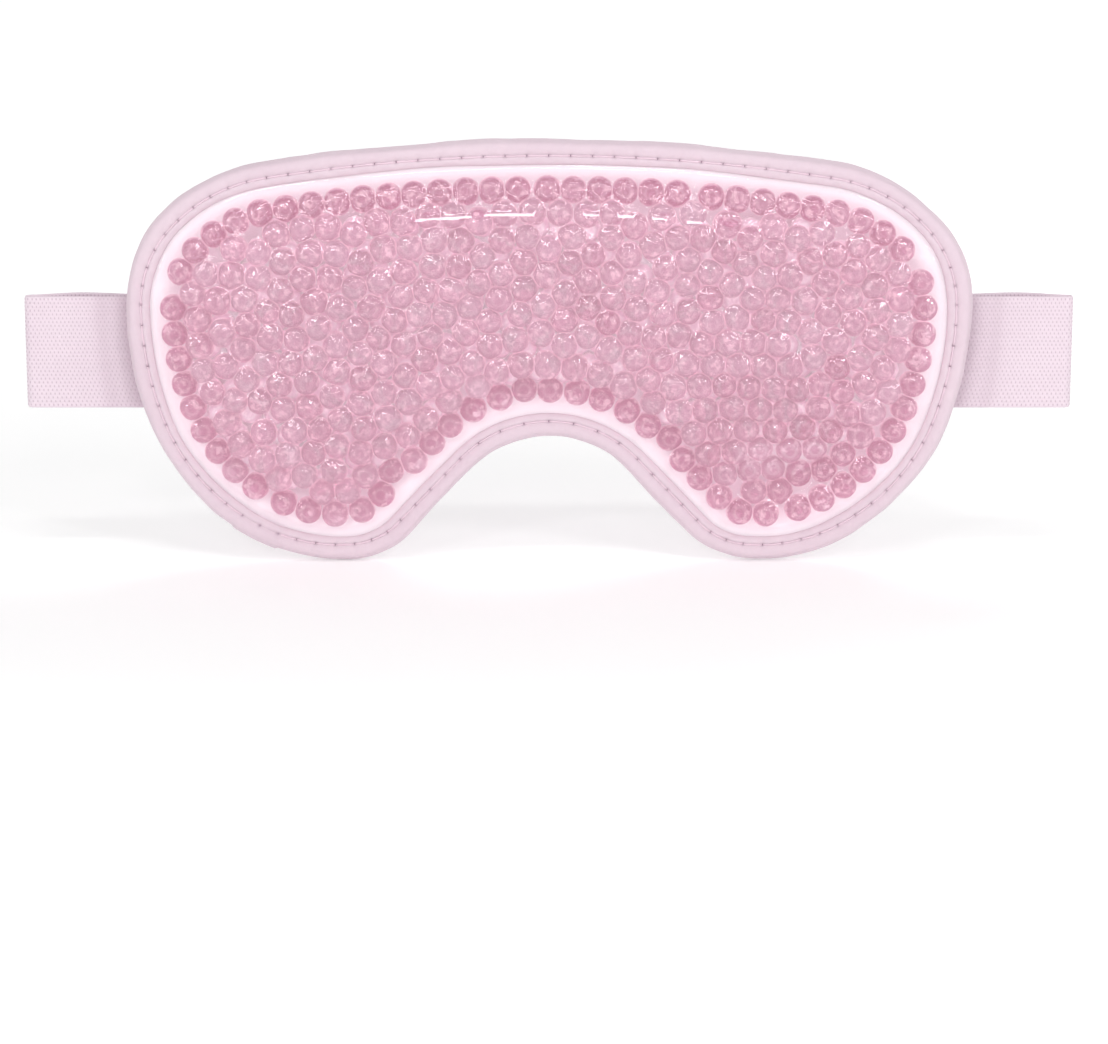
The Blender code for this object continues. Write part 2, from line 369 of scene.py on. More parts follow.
def gel_look(name, see_through, transmission, deep, pale, inner=0.0):
    """Soft water gel: most of the light goes through, some is scattered, and contact lines are paler, a
    painted highlight.

    Pale noise marks are painted glints and a ring is a painted ring highlight. The light that the gel passes
    on from the pale backing is given as a painted glow of its own, from the rims and the glint marks, though
    the gel is no lamp.
    """
    look = Look(name)
    body = look.mix(look.attribute("tone"), deep, pale)
    # painted glints: pale noise marks mixed towards white, which also glow
    painted_glints = look.spread(look.noise(640.0, 3.0, roughness=0.6), 0.53, 0.64, 0.0, 0.7)
    body = look.mix(painted_glints, body, linear(255, 238, 246))
    # painted ring highlight, mixed towards white
    body = look.mix(look.scaled(look.attribute("ring_highlight"), 0.5), body, linear(255, 244, 250))
    # painted highlight: the rims, where beads meet, mixed towards white
    look.link(look.mix(look.attribute("rim"), body, linear(255, 242, 249)), "Base Color")
    look.set(Roughness=0.02, IOR=1.36, Transmission_Weight=transmission, Specular_IOR_Level=0.7)
    # painted glow: emission from the rims and the glint marks
    look.set(Emission_Color=linear(255, 216, 226))
    glow = look.spread(look.attribute("rim"), 0.0, 1.0, inner, inner + PAINTED_RIM_GLOW)
    look.link(look.maths("ADD", glow, look.scaled(painted_glints, PAINTED_GLINT_GLOW)), "Emission Strength")
    coarse = look.bump(look.noise(360.0, 1.0), 0.9, 0.5)
    look.bump(look.noise(1100.0, 1.0), 0.8, 0.14, coarse)
    straight = look.node("ShaderNodeBsdfTransparent", {"Color": (1.0, 0.88, 0.93, 1.0)})
    share = look.spread(look.attribute("thin"), 0.0, 1.0, see_through, 0.75)
    look.surface(look.mix_shaders(share, look.shader, straight))
    return look


def film_look():
    """Clear soft film: what lies behind shows through, under a sharp gloss."""
    look = Look("film")
    loose = look.maths("SUBTRACT", 1.0, look.attribute("taut"))
    look.bump(look.scaled(look.noise(430.0, 3.0), loose), 0.8, 0.38)
    look.set(Base_Color=linear(250, 244, 248), Roughness=0.06, Metallic=1.0)
    haze = look.node("ShaderNodeBsdfDiffuse", {"Color": (*linear(252, 244, 249), 1.0)})
    clear = look.node("ShaderNodeBsdfTransparent", {"Color": (1.0, 0.985, 0.992, 1.0)})
    facing = look.node("ShaderNodeLayerWeight", {"Blend": 0.5}).outputs["Facing"]
    mirror = look.spread(look.maths("POWER", facing, 5.0), 0.0, 1.0, 0.06, 0.9)
    look.surface(look.mix_shaders(mirror, look.mix_shaders(0.12, clear, haze), look.shader))
    return look


def rear_film_look():
    """The same film with the pale backing showing through it, and a painted glow, strongest along the margin,
    standing in for light passed through the backing.
    """
    look = Look("rear_film")
    tint = look.noise(40.0, 3.0)
    look.link(look.mix(tint, linear(254, 240, 248), linear(255, 247, 252)), "Base Color")
    look.set(Roughness=0.25, Specular_IOR_Level=0.5)
    # painted glow: the rear film glows though it is no lamp, more along the margin
    look.link(look.spread(look.attribute("margin"), 0.0, 1.0, 0.02, 0.16), "Emission Strength")
    look.set(Emission_Color=linear(234, 252, 249))
    return look


def tape_look():
    """Soft woven binding tape, with painted shade in the needle holes."""
    look = Look("binding_tape")
    weave = look.noise(1000.0, 3.0)
    patches = look.noise(60.0, 4.0)
    cloth = look.mix(patches, linear(213, 192, 203), linear(222, 204, 213))
    cloth = look.mix(look.scaled(weave, 0.25), cloth, linear(206, 184, 196))
    # painted shade in the needle holes
    look.link(look.mix(look.attribute("needle_hole_shade"), cloth, linear(156, 128, 146)), "Base Color")
    look.set(Roughness=0.75, Sheen_Weight=0.25, Sheen_Roughness=0.4, Specular_IOR_Level=0.3)
    look.bump(look.maths("ADD", weave, look.scaled(patches, 1.5)), 0.6, 0.22)
    return look


def plush_look():
    """Short soft pile on the side that touches the skin."""
    look = Look("plush")
    pile = look.noise(1100.0, 4.0)
    nap = look.noise(24.0, 4.0)
    cloth = look.mix(nap, linear(238, 212, 225), linear(244, 222, 233))
    look.link(look.mix(look.scaled(pile, 0.3), cloth, linear(224, 194, 210)), "Base Color")
    look.set(Roughness=0.9, Sheen_Weight=0.5, Sheen_Roughness=0.5, Specular_IOR_Level=0.2)
    look.bump(pile, 0.5, 0.2)
    return look


def elastic_look():
    """Knitted elastic: small dark eyes between the ribs, in staggered rows, and painted shade near the mask.
    """
    look = Look("elastic")
    along, across, shade = (look.attribute(name) for name in ("along", "across", "shade"))
    ribs = look.cosine(across, RIB_PITCH)
    eyes = look.scaled(look.cosine(along, EYE_PITCH), look.cosine(across, 2.0 * RIB_PITCH))
    eyes = look.spread(eyes, 0.3, 0.95)
    grain = look.noise(1600.0, 2.0)
    cloth = look.mix(look.noise(60.0, 3.0), linear(224, 207, 217), linear(232, 217, 226))
    cloth = look.mix(look.scaled(grain, 0.3), cloth, linear(206, 186, 198))
    cloth = look.mix(look.scaled(eyes, 0.6), cloth, linear(176, 150, 166))
    # painted shade: darker where the strap leaves the mask and along a soft crease
    look.link(look.mix(look.scaled(shade, 0.5), cloth, linear(192, 170, 183)), "Base Color")
    look.set(Roughness=0.8, Sheen_Weight=0.15, Specular_IOR_Level=0.3)
    height = look.maths("SUBTRACT", look.scaled(ribs, 0.3), eyes)
    look.bump(look.maths("ADD", height, look.scaled(grain, 0.4)), 0.5, 0.18)
    return look


def plain_look(name, colour, roughness):
    """One colour with a fine grain, for thread and fasteners."""
    look = Look(name)
    grain = look.noise(500.0, 4.0)
    darker = tuple(0.93 * c for c in colour)
    look.link(look.mix(grain, darker, colour), "Base Color")
    look.set(Roughness=roughness)
    look.bump(grain, 0.3, 0.1)
    return look


# ---- gel beads

BEAD_RADIUS = 3.42
BEAD_PITCH = 6.5
FLATTENED = 0.92  # how far a bead reaches towards a film, as a share of its radius
SQUEEZE = 1.87  # bead spacing as a share of the radius
FIRST_ROW = 12.2  # from the mask's edge in to the first row's centres
SECOND_ROW = FIRST_ROW + 0.74 * BEAD_PITCH
REAR_ROW = 17.0  # and to the first centres of the rear layer
FIRST_SCATTER = 1.5  # how far beads of the first row stray inwards, where the row is loose
CROWD_SCATTER = 2.3
REAR_SCATTER = 0.8
HOLE = 0.76 * BEAD_PITCH  # a gap that takes one more bead
ONE_LAYER = 2 * BEAD_RADIUS + 0.15
TWO_LAYERS = REAR_LOW[1] + REAR_RISE - (FRONT_LOW[1] + 0.4)


def hex_field(pitch, least_depth, shift):
    """Points in staggered rows over the mask, at least least_depth in from its edge."""
    step = pitch * math.sqrt(3) / 2
    rows = np.arange(-60.0, 60.0, step) + shift[1]
    points = [
        (x + (pitch / 2 if i % 2 else 0.0) + shift[0], z)
        for i, z in enumerate(rows)
        for x in np.arange(-110.0, 110.0, pitch)
    ]
    points = np.array(points)
    depth, _ = edge_distance(points)
    return points[depth > least_depth]


def settle(points, least_depth, spacing, rounds):
    """Push the beads apart until none is much closer than spacing, and keep them inside the pack."""
    reach = (spacing[:, None] + spacing[None, :]) / 2
    for _ in range(rounds):
        gap = points[:, None, :] - points[None, :, :]
        far = np.sqrt((gap ** 2).sum(2)) + np.eye(len(points)) * 1e3
        push = np.clip(reach - far, 0.0, None) / far
        points = points + 0.4 * (gap * push[:, :, None]).sum(1)
        depth, inward = edge_distance(points)
        points += inward * np.clip(least_depth - depth, 0.0, None)[:, None]
    return points


def fill_holes(points, least_depth, room):
    """Add a bead wherever one nearly fits."""
    spots = hex_field(1.2, least_depth, (0.0, 0.0))
    while True:
        far = np.full(len(spots), np.inf)
        for start in range(0, len(points), 100):
            gap = spots[:, None, :] - points[None, start:start + 100, :]
            far = np.minimum(far, np.sqrt((gap ** 2).sum(2)).min(1))
        if far.max() < room:
            return points
        points = np.vstack([points, spots[far.argmax()]])


def bead_centres():
    """Places and radii: a row along the edge, tidy ranks in the right lobe, and a loose crowd between."""
    rng = np.random.default_rng(SEED)
    first = even_points(EDGE - EDGE_OUT * FIRST_ROW, BEAD_PITCH)
    _, inward = edge_distance(first)
    x, z = first.T
    below_brow = 1.0 - ramp(z, 16.0, 30.0)
    right_lobe = ramp(x, 20.0, 40.0) * ramp(-z, 10.0, 20.0)
    loose = below_brow * (1.0 - right_lobe)
    first += inward * (np.abs(rng.normal(0.0, FIRST_SCATTER, len(first))) * loose)[:, None]
    inner = hex_field(BEAD_PITCH, SECOND_ROW, (0.6, 1.3))
    tidy = oval(*inner.T, (62.0, -30.0), (30.0, 20.0))
    inner = inner + rng.normal(0.0, 1.0, inner.shape) * (CROWD_SCATTER * (1.0 - tidy))[:, None]
    front = np.vstack([first + rng.normal(0.0, 0.12, first.shape), inner])
    front = settle(front, FIRST_ROW, np.full(len(front), BEAD_PITCH), 30)
    front = fill_holes(front, FIRST_ROW, HOLE)
    radius = BEAD_RADIUS * rng.uniform(0.92, 1.07, len(front))
    radius[:len(first)] = BEAD_RADIUS * rng.uniform(0.98, 1.02, len(first))
    front = settle(front, FIRST_ROW, SQUEEZE * radius, 110)
    radius[:len(first)] *= 1.03
    radius[len(first):] *= 1.05
    depth, _ = edge_distance(front)
    front_y = rear_y(depth) - pack_thickness(front, depth) + radius
    front_y += rng.uniform(-0.1, 0.6, len(front)) * ramp(depth, FIRST_ROW + 3.0, FIRST_ROW + 8.0)
    behind = hex_field(BEAD_PITCH, REAR_ROW, (3.4, -0.6))
    behind = behind + rng.normal(0.0, REAR_SCATTER, behind.shape)
    behind = settle(behind, REAR_ROW, np.full(len(behind), SQUEEZE * BEAD_RADIUS), 60)
    depth, _ = edge_distance(behind)
    behind = behind[pack_thickness(behind, depth) > 0.82 * TWO_LAYERS]
    depth, _ = edge_distance(behind)
    behind_y = rear_y(depth) - BEAD_RADIUS * FLATTENED
    return raised(front, front_y), radius, len(first), raised(behind, behind_y)


def ball(around, angles):
    """Directions and faces of a unit sphere: poles on the Y axis, rings at these degrees from the front."""
    directions = [(0.0, -1.0, 0.0)]
    for angle in np.radians(angles):
        wide = math.sin(angle)
        turns = [2 * math.pi * j / around for j in range(around)]
        directions += [(wide * math.cos(turn), -math.cos(angle), wide * math.sin(turn)) for turn in turns]
    directions.append((0.0, 1.0, 0.0))
    faces = [(0, 1 + j, 1 + (j + 1) % around) for j in range(around)]
    for i in range(len(angles) - 1):
        a, b = 1 + i * around, 1 + (i + 1) * around
        faces += [(a + j, b + j, b + (j + 1) % around, a + (j + 1) % around) for j in range(around)]
    last, a = len(directions) - 1, 1 + (len(angles) - 1) * around
    faces += [(a + (j + 1) % around, a + j, last) for j in range(around)]
    return np.array(directions), faces


def squeezed_bead(centre, neighbours, front_limit, rear_limit, directions, radius):
    """A ball flattened softly where it meets its neighbours and the two films."""
    sharp = 18.0  # a higher number makes the flats' rims sharper
    gap = 0.02
    reach = np.full(len(directions), radius ** -sharp)
    walls = [((0.0, -1.0, 0.0), front_limit), ((0.0, 1.0, 0.0), rear_limit)]
    for other in neighbours:
        across = other - centre
        far = np.linalg.norm(across)
        walls.append((across / far, far / 2 - gap))
    for normal, far in walls:
        toward = directions @ np.asarray(normal)
        hit = toward > 0.05
        reach[hit] += (far / toward[hit]) ** -sharp
    return centre + directions * (reach ** (-1.0 / sharp))[:, None]


# degrees from the front of a bead
FINE_RINGS = (10, 18, 25, 33, 42, 52, 63, 75, 88, 108, 131, 155)
COARSE_RINGS = (16, 28, 42, 60, 78, 98, 125, 152)


def bead_mesh(name, centres, radii, everyone, around, angles, tones):
    """All beads of one layer, squeezed by everyone near, with the values that the gel's look reads."""
    directions, faces = ball(around, angles)
    depth, _ = edge_distance(centres[:, [0, 2]])
    rear = rear_y(depth)
    from_front = np.degrees(np.arccos(np.clip(-directions[:, 1], -1.0, 1.0)))
    values = {
        # masks for painted light: rim for the painted pale outline and glow, the ring at 27 degrees for a
        # painted ring highlight
        "rim": ramp(from_front, 60.0, 84.0) * (1.0 - ramp(from_front, 100.0, 130.0)),
        "ring_highlight": bell(from_front, 27.0, 5.0),
        "thin": np.maximum(ramp(from_front, 85.0, 105.0), 0.3 * ramp(from_front, 58.0, 80.0)),
    }
    vertices, all_faces = [], []
    for i, centre in enumerate(centres):
        away = np.linalg.norm(everyone - centre, axis=1)
        near = everyone[(away > 0.01) & (away < 2.3 * BEAD_RADIUS)]
        behind = max(rear[i] - centre[1] - 0.05, 0.8 * radii[i])
        vertices.append(squeezed_bead(centre, near, FLATTENED * radii[i], behind, directions, radii[i]))
        start = i * len(directions)
        all_faces += [tuple(start + v for v in face) for face in faces]
    obj = new_object(name, np.vstack(vertices), all_faces)
    paint_values(obj, "tone", np.repeat(tones, len(directions)))
    for key, value in values.items():
        paint_values(obj, key, np.tile(value, len(centres)))
    return obj


# ---- films

SHEET_X = 106.0  # the sheets' grids reach just past the mask
SHEET_Z = (-55.0, 54.0)
DRAPE = 7.0  # radius of the front film over a bead's top
DRAPE_REACH = 13.0  # a bead further away doesn't lift it
DRAPE_SOFTNESS = 0.10
WELD = 6.2  # from the mask's edge in to where the film leaves the weld
WELD_CURVE = 2.2  # width of the curve there
WELD_SLOPE = 1.58  # the film's rise past it
BESIDE_WELD = 6.9
REAR_DRAPE = 3.0
REAR_REACH = 4.4  # how far the rear film follows the beads
NOWHERE = -1e3


def sheet_grid(step, least_depth, snap_depth):
    """A square grid over the mask, cut off at least_depth, with its rim moved onto snap_depth."""
    xs = np.arange(-SHEET_X, SHEET_X + step, step)
    zs = np.arange(SHEET_Z[0], SHEET_Z[1] + step, step)
    grid_x, grid_z = np.meshgrid(xs, zs)
    flat = np.stack([grid_x.ravel(), grid_z.ravel()], 1)
    depth, inward = edge_distance(flat)
    inside = depth > least_depth
    columns = len(xs)
    faces = [
        f for f in grid_faces(len(zs), columns)
        if inside[f[0]] and inside[f[1]] and inside[f[2]] and inside[f[3]]
    ]
    used = np.unique(np.array(faces))
    count = np.zeros(len(flat), int)
    np.add.at(count, np.array(faces).ravel(), 1)
    rim = (count > 0) & (count < 4)
    flat[rim] += inward[rim] * (snap_depth - depth[rim])[:, None]
    renumber = np.full(len(flat), -1)
    renumber[used] = np.arange(len(used))
    faces = [tuple(renumber[i] for i in f) for f in faces]
    flat = flat[used]
    depth, _ = edge_distance(flat)
    return flat, depth, faces


def film_height(flat, depth, beads, radii):
    """How far towards the viewer the front film stands: draped over the beads and held along the weld."""
    tops = -beads[:, 1] + FLATTENED * radii + 0.1
    total = np.zeros(len(flat))
    best = np.full(len(flat), NOWHERE)
    layers = []
    for (x, _, z), top in zip(beads, tops):
        far = (flat[:, 0] - x) ** 2 + (flat[:, 1] - z) ** 2
        near = np.flatnonzero(far < DRAPE_REACH ** 2)
        value = top - far[near] / (2 * DRAPE)
        layers.append((near, value))
        best[near] = np.maximum(best[near], value)
    for near, value in layers:
        total[near] += np.exp((value - best[near]) / DRAPE_SOFTNESS)
    height = np.where(total > 0, best + DRAPE_SOFTNESS * np.log(np.maximum(total, 1e-9)), NOWHERE)
    flange = -FRONT_HIGH[1] + 0.55
    around = np.arctan2(flat[:, 1] * 1.8, flat[:, 0])
    wander = 0.35 * np.sin(5 * around + 0.4) + 0.25 * np.sin(13 * around + 2.0)
    from_weld = np.maximum(depth - WELD - 0.15 * wander, 0.0)
    curve = 0.36 * np.minimum(from_weld, WELD_CURVE) ** 2
    margin = flange + curve + WELD_SLOPE * np.maximum(from_weld - WELD_CURVE, 0.0)
    soft = 0.35
    height = np.minimum(height, margin) - soft * np.log(1 + np.exp(-np.abs(height - margin) / soft))
    height = np.maximum(height, flange)
    height -= 0.10 * bell(depth, BESIDE_WELD, 0.25)
    x, z = flat[:, 0], flat[:, 1]
    creases = np.sin(0.9 * x + 2.2 * np.sin(0.23 * z)) * np.sin(1.1 * z + 1.7 * np.sin(0.31 * x))
    height += 0.05 * creases * ramp(depth, 8.0, 12.0)
    height, band = fold_line(x, z, height)
    return height, np.maximum(band, 1.0 - ramp(depth, 8.8, 10.8))


def fold_line(x, z, height):
    """A taut fold in the film under the top row of beads, broken in places."""
    above = z - 34.4 + 0.0016 * x ** 2 - 0.12 * np.sin(0.35 * x)
    band = 1.0 - ramp(np.abs(above), 1.05, 1.9)
    whole_part = 1.0 - ramp(x, -3.5, -1.5)
    dashed_part = ramp(x, 4.0, 5.5) * ramp(np.sin(0.75 * x), -0.6, -0.2)
    ends = ramp(x, -36.0, -33.0) * (1.0 - ramp(x, 51.0, 54.0))
    band *= np.maximum(whole_part, dashed_part) * ends
    level = np.percentile(height[np.abs(above) < 0.5], 85)
    taut = level - 0.62 * above - 0.035 * above ** 2
    return height + band * (taut - height), band


def add_films(beads, radii, behind):
    """The window over the beads, and the film that lies against them from behind."""
    flat, depth, faces = sheet_grid(0.46, 1.6, 1.4)
    height, taut = film_height(flat, depth, beads, radii)
    front = new_object("front_film_skin", raised(flat, -height), faces)
    paint_values(front, "taut", taut)
    finish_piece(front, film_look(), "clear_film", "front_film")
    flat, depth, faces = sheet_grid(1.1, 1.8, 1.4)
    rest = rear_y(depth) + 0.2
    pulled = np.full(len(flat), -np.inf)
    for x, y, z in behind:
        far = (flat[:, 0] - x) ** 2 + (flat[:, 1] - z) ** 2
        pulled = np.maximum(pulled, y + BEAD_RADIUS - far / REAR_DRAPE)
    pulled = np.clip(pulled, rest - REAR_REACH, rest)
    rest = rest + ramp(depth, 19.0, 23.0) * (pulled - rest)
    rear = new_object("rear_film_skin", raised(flat, rest), faces)
    # margin: where the rear film's painted glow is strongest
    paint_values(rear, "margin", 1.0 - ramp(depth, 9.0, 12.0))
    finish_piece(rear, rear_film_look(), "clear_film", "rear_film")
    for piece in (front, rear):
        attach(piece, BODY)


def add_beads():
    """Both layers of beads; the films are laid over what this returns."""
    rng = np.random.default_rng(SEED + 1)
    front, radii, first, behind = bead_centres()
    everyone = np.vstack([front, behind])
    tones = np.clip(rng.normal(0.78, 0.15, len(front)), 0.0, 1.0)
    tones[:first] = np.clip(rng.normal(0.08, 0.12, first), 0.0, 1.0)
    tones *= 1.0 - 0.97 * oval(front[:, 0], front[:, 2], (66.0, -32.0), (28.0, 18.0))
    around, rings = ((18, FINE_RINGS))
    # both gel looks paint pale rims, rings and glints, and glow a little though the gel is no lamp
    near_look = gel_look("gel", 0.20, 0.68, linear(192, 95, 141), linear(219, 185, 203))
    far_look = gel_look("gel_rear", 0.0, 0.0, linear(238, 194, 218), linear(246, 216, 232), 0.01)
    near = bead_mesh("gel_beads_front", front, radii, everyone, around, rings, tones)
    rear_radii = np.full(len(behind), BEAD_RADIUS)
    rear_tones = rng.uniform(0.5, 1.0, len(behind))
    far = bead_mesh("gel_beads_rear", behind, rear_radii, everyone, 12, COARSE_RINGS, rear_tones)
    finish_piece(near, near_look, "gel_beads", "gel_bead_fill")
    finish_piece(far, far_look, "gel_beads")
    for piece in (near, far):
        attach(piece, BODY)
    return front, radii, behind


# ---- binding and its stitching

STITCH_LINE = 4.0  # from the mask's edge in
STITCH_PITCH = 5.4
STITCH_RADIUS = 0.2
STITCH_SUNK = 0.16
LIP_FRONT = 6.0
LIP_BACK = 6.5
TAPE = 0.7
BINDING_FRONT_Y = BINDING_LOW[1]
BINDING_BACK_Y = BINDING_HIGH[1]
BINDING_MIDDLE_Y = (BINDING_FRONT_Y + BINDING_BACK_Y) / 2
BINDING_ROUND = 2.2  # how far in the rounded edge reaches
LAP_PLACE = (-68.0, -50.0)  # where the tape's two ends lap
LAP_LENGTH = 13.0


def wave(run, total, seed, cycles, amount):
    """A smooth closed wander along the outline."""
    rng = np.random.default_rng(seed)
    value = np.zeros_like(run)
    for cycle in cycles:
        value += rng.normal() * np.sin(2 * np.pi * cycle * run / total + rng.uniform(0, 2 * np.pi))
    return amount * value / math.sqrt(len(cycles))


def from_stitch(run, total):
    """Distance along the outline to the nearest needle hole."""
    pitch = total / round(total / STITCH_PITCH)
    return np.abs((run + pitch / 2) % pitch - pitch / 2), pitch


def lap_share(run, start):
    """1 where the tape lies double."""
    after = run - start
    return ramp(after, 0.0, 0.5) * (1.0 - ramp(after, LAP_LENGTH - 0.8, LAP_LENGTH))


def binding_section():
    """The outer face, from the front lip's edge to the back lip's, as inset, y and the way out."""
    front = [6.1, 6.14, 6.0, 5.7, 5.2, 4.8, 4.5, 4.3, 4.15, 4.0, 3.85, 3.7, 3.4, 3.0, 2.6, 2.2]
    dip = [0.70, 0.58, 0.42, 0.28, 0.15, 0.06] + [0.0] * 10
    points = [(d, BINDING_FRONT_Y + e, 0.0, -1.0) for d, e in zip(front, dip)]
    deep = (BINDING_BACK_Y - BINDING_FRONT_Y) / 2
    for step in range(1, 12):
        angle = math.pi * (step / 12 - 0.5)
        out, back = math.cos(angle), math.sin(angle)
        points.append((BINDING_ROUND - BINDING_ROUND * out, BINDING_MIDDLE_Y + deep * back, -out, back))
    back = [2.2, 2.7, 3.2, 3.6, 3.85, 4.0, 4.15, 4.4, 4.8, 5.4, 6.0, 6.4, 6.6, 6.58]
    dip = [0.0] * 11 + [0.06, 0.3, 0.55]
    points += [(d, BINDING_BACK_Y - e, 0.0, 1.0) for d, e in zip(back, dip)]
    return np.array(points)


def add_binding():
    """The tape folded over the edge, puffed between its stitches and lapped in one place, and its threads."""
    outline, out, length = make_outline(0.55)
    run, total = length[:-1], length[-1]
    inset, y, way_d, way_y = binding_section().T
    beside, pitch = from_stitch(run, total)
    on_top = (np.abs(way_d) < 0.5).astype(float)
    outer = np.clip(inset / STITCH_LINE, 0, 1)
    lip = np.clip((inset - STITCH_LINE) / 2.1, 0, 1)
    swell = np.where(inset < STITCH_LINE, 0.42 * np.sin(np.pi * outer) ** 0.8, 0.0)
    swell += np.where(inset > STITCH_LINE, 0.16 * np.sin(np.pi * lip), 0.0)
    swell -= 0.26 * bell(inset, STITCH_LINE, 0.38)
    swell *= on_top
    pull = bell(inset, STITCH_LINE, 1.1) * on_top
    between = 0.5 - 0.5 * np.cos(2 * np.pi * run / pitch)
    lift = swell * (0.72 + 0.4 * between[:, None])
    lift -= 0.34 * bell(beside, 0.0, 0.8)[:, None] * pull
    wrinkled = 0.3 + np.clip(swell, 0, 1)
    lift += wave(run, total, SEED + 20, (31, 43, 57), 0.16)[:, None] * wrinkled
    lift += wave(run, total, SEED + 21, (90, 117, 141), 0.07)[:, None] * wrinkled
    start = run[np.linalg.norm(outline - np.array(LAP_PLACE), axis=1).argmin()]
    lift += 0.42 * lap_share(run, start)[:, None]
    sway = wave(run, total, SEED + 30, (3, 5, 8, 13, 21), 0.16)
    lip_sway = wave(run, total, SEED + 31, (9, 17, 29), 0.14)
    edge_share = np.clip(1.0 - inset / 3.0, 0, 1)
    lip_share = np.clip((inset - 4.4) / 1.2, 0, 1)
    depth = inset + way_d * lift - sway[:, None] * edge_share + lip_sway[:, None] * lip_share
    height = y + way_y * lift
    under_back, under_front = BINDING_BACK_Y - TAPE, BINDING_FRONT_Y + TAPE
    under = np.array([
        (LIP_BACK - 0.1, under_back), (3.6, under_back), (1.4, under_back), (0.75, BINDING_MIDDLE_Y),
        (1.4, under_front), (3.6, under_front), (LIP_FRONT - 0.1, under_front),
    ])
    depth = np.hstack([depth, np.tile(under[:, 0], (len(run), 1))])
    height = np.hstack([height, np.tile(under[:, 1], (len(run), 1))])
    flat = outline[:, None, :] - out[:, None, :] * depth[:, :, None]
    vertices = np.stack([flat[..., 0], height, flat[..., 1]], 2).reshape(-1, 3)
    faces = grid_faces(len(run), depth.shape[1], close_rows=True, close_columns=True)
    binding = new_object("edge_binding_tape", vertices, faces)
    face_out(binding)
    # painted shade in the needle holes, for the tape's look
    needle_hole_shade = bell(beside, 0.0, 0.42)[:, None] * bell(inset, STITCH_LINE, 0.36) * on_top
    needle_hole_shade = np.hstack([needle_hole_shade, np.zeros((len(run), len(under)))])
    paint_values(binding, "needle_hole_shade", needle_hole_shade.ravel())
    finish_piece(binding, tape_look(), "binding_tape", "edge_binding")
    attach(binding, BODY)
    thread = plain_look("thread", linear(232, 208, 220), 0.6)
    seam = (np.vstack([outline, outline[:1]]), np.vstack([out, out[:1]]), length)
    for name, face_y, side in (("needle", BINDING_FRONT_Y, -1.0), ("bobbin", BINDING_BACK_Y, 1.0)):
        add_edge_stitches(f"{name}_stitches", seam, face_y, side, thread, f"binding_{name}_thread")


def tube(path, radius, sides=6):
    """A round strand along a path of points, closed at both ends."""
    path = np.asarray(path, float)
    run = np.gradient(path, axis=0)
    run /= np.linalg.norm(run, axis=1)[:, None]
    aside = np.cross(run, (0.0, 1.0, 0.0))
    small = np.linalg.norm(aside, axis=1) < 1e-3
    aside[small] = (1.0, 0.0, 0.0)
    aside /= np.linalg.norm(aside, axis=1)[:, None]
    up = np.cross(aside, run)
    turns = 2 * np.pi * np.arange(sides) / sides
    ring = aside[:, None, :] * np.cos(turns)[None, :, None] + up[:, None, :] * np.sin(turns)[None, :, None]
    vertices = (path[:, None, :] + ring * radius).reshape(-1, 3)
    return vertices, stack_faces(len(path), sides)


def join_parts(parts):
    """The vertices and faces of many meshes as one."""
    vertices, faces, start = [], [], 0
    for part_vertices, part_faces in parts:
        vertices.append(part_vertices)
        faces += [tuple(start + i for i in face) for face in part_faces]
        start += len(part_vertices)
    return np.vstack(vertices), faces


def add_strands(name, parts, look, slot, node, body):
    """One piece from many closed meshes."""
    piece = new_object(name, *join_parts(parts))
    face_out(piece)
    finish_piece(piece, look, slot, node)
    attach(piece, body)


def add_edge_stitches(name, seam, face_y, side, look, node):
    """One strand for each stitch, dipping into the needle holes."""
    outline, out, run = seam
    count = round(run[-1] / STITCH_PITCH)
    pitch = run[-1] / count
    share = np.linspace(0.03, 0.97, 9)
    height = face_y + side * (0.34 * np.sin(np.pi * share) ** 0.45 - 0.24 - STITCH_SUNK)
    parts = []
    for i in range(count):
        at = (i + share) * pitch
        line = at_run(outline, run, at) - STITCH_LINE * at_run(out, run, at)
        parts.append(tube(raised(line, height), STITCH_RADIUS))
    add_strands(name, parts, look, "thread", node, BODY)


# ---- backing

SEWN_DEPTH = 6.4  # the binding holds the backing up to here


